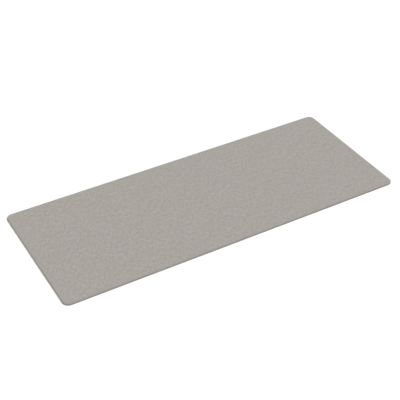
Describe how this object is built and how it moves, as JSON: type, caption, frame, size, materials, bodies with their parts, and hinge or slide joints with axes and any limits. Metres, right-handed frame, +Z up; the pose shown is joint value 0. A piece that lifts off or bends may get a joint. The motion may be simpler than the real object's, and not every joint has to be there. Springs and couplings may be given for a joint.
{
  "type": "anti fatigue mat",
  "caption": "Thin flat rectangular standing mat with rounded corners, a rolled shoulder and a darker edge band; bonded foam layers between a grained cover and a non-slip base.",
  "frame": {"origin": "on the floor, under the middle of the mat", "axes": "+X along the mat's long side, +Y across it towards the side with the edge band's butt joint, +Z up from the floor through the thickness"},
  "size_m": [1.5, 0.6, 0.0095],
  "materials": {
    "cover_vinyl": "matt, fine pebble grain",
    "edge_vinyl": "matt, smooth extruded strip",
    "base_vinyl": "matt, grip pattern underneath",
    "soft_foam": "closed-cell foam, skived faces",
    "firm_foam": "closed-cell foam, skived faces",
    "scrim_yarn": "open leno mesh of glass yarn",
    "bond_film": "thin hot-melt film"
  },
  "bodies": {
    "root": {"grip_base": "base_vinyl", "base_bond_film": "bond_film", "support_foam": "firm_foam", "reinforcing_scrim": "scrim_yarn", "comfort_foam": "soft_foam", "cover_bond_film": "bond_film", "top_cover": "cover_vinyl", "edge_band": "edge_vinyl"}
  },
  "joints": []
}
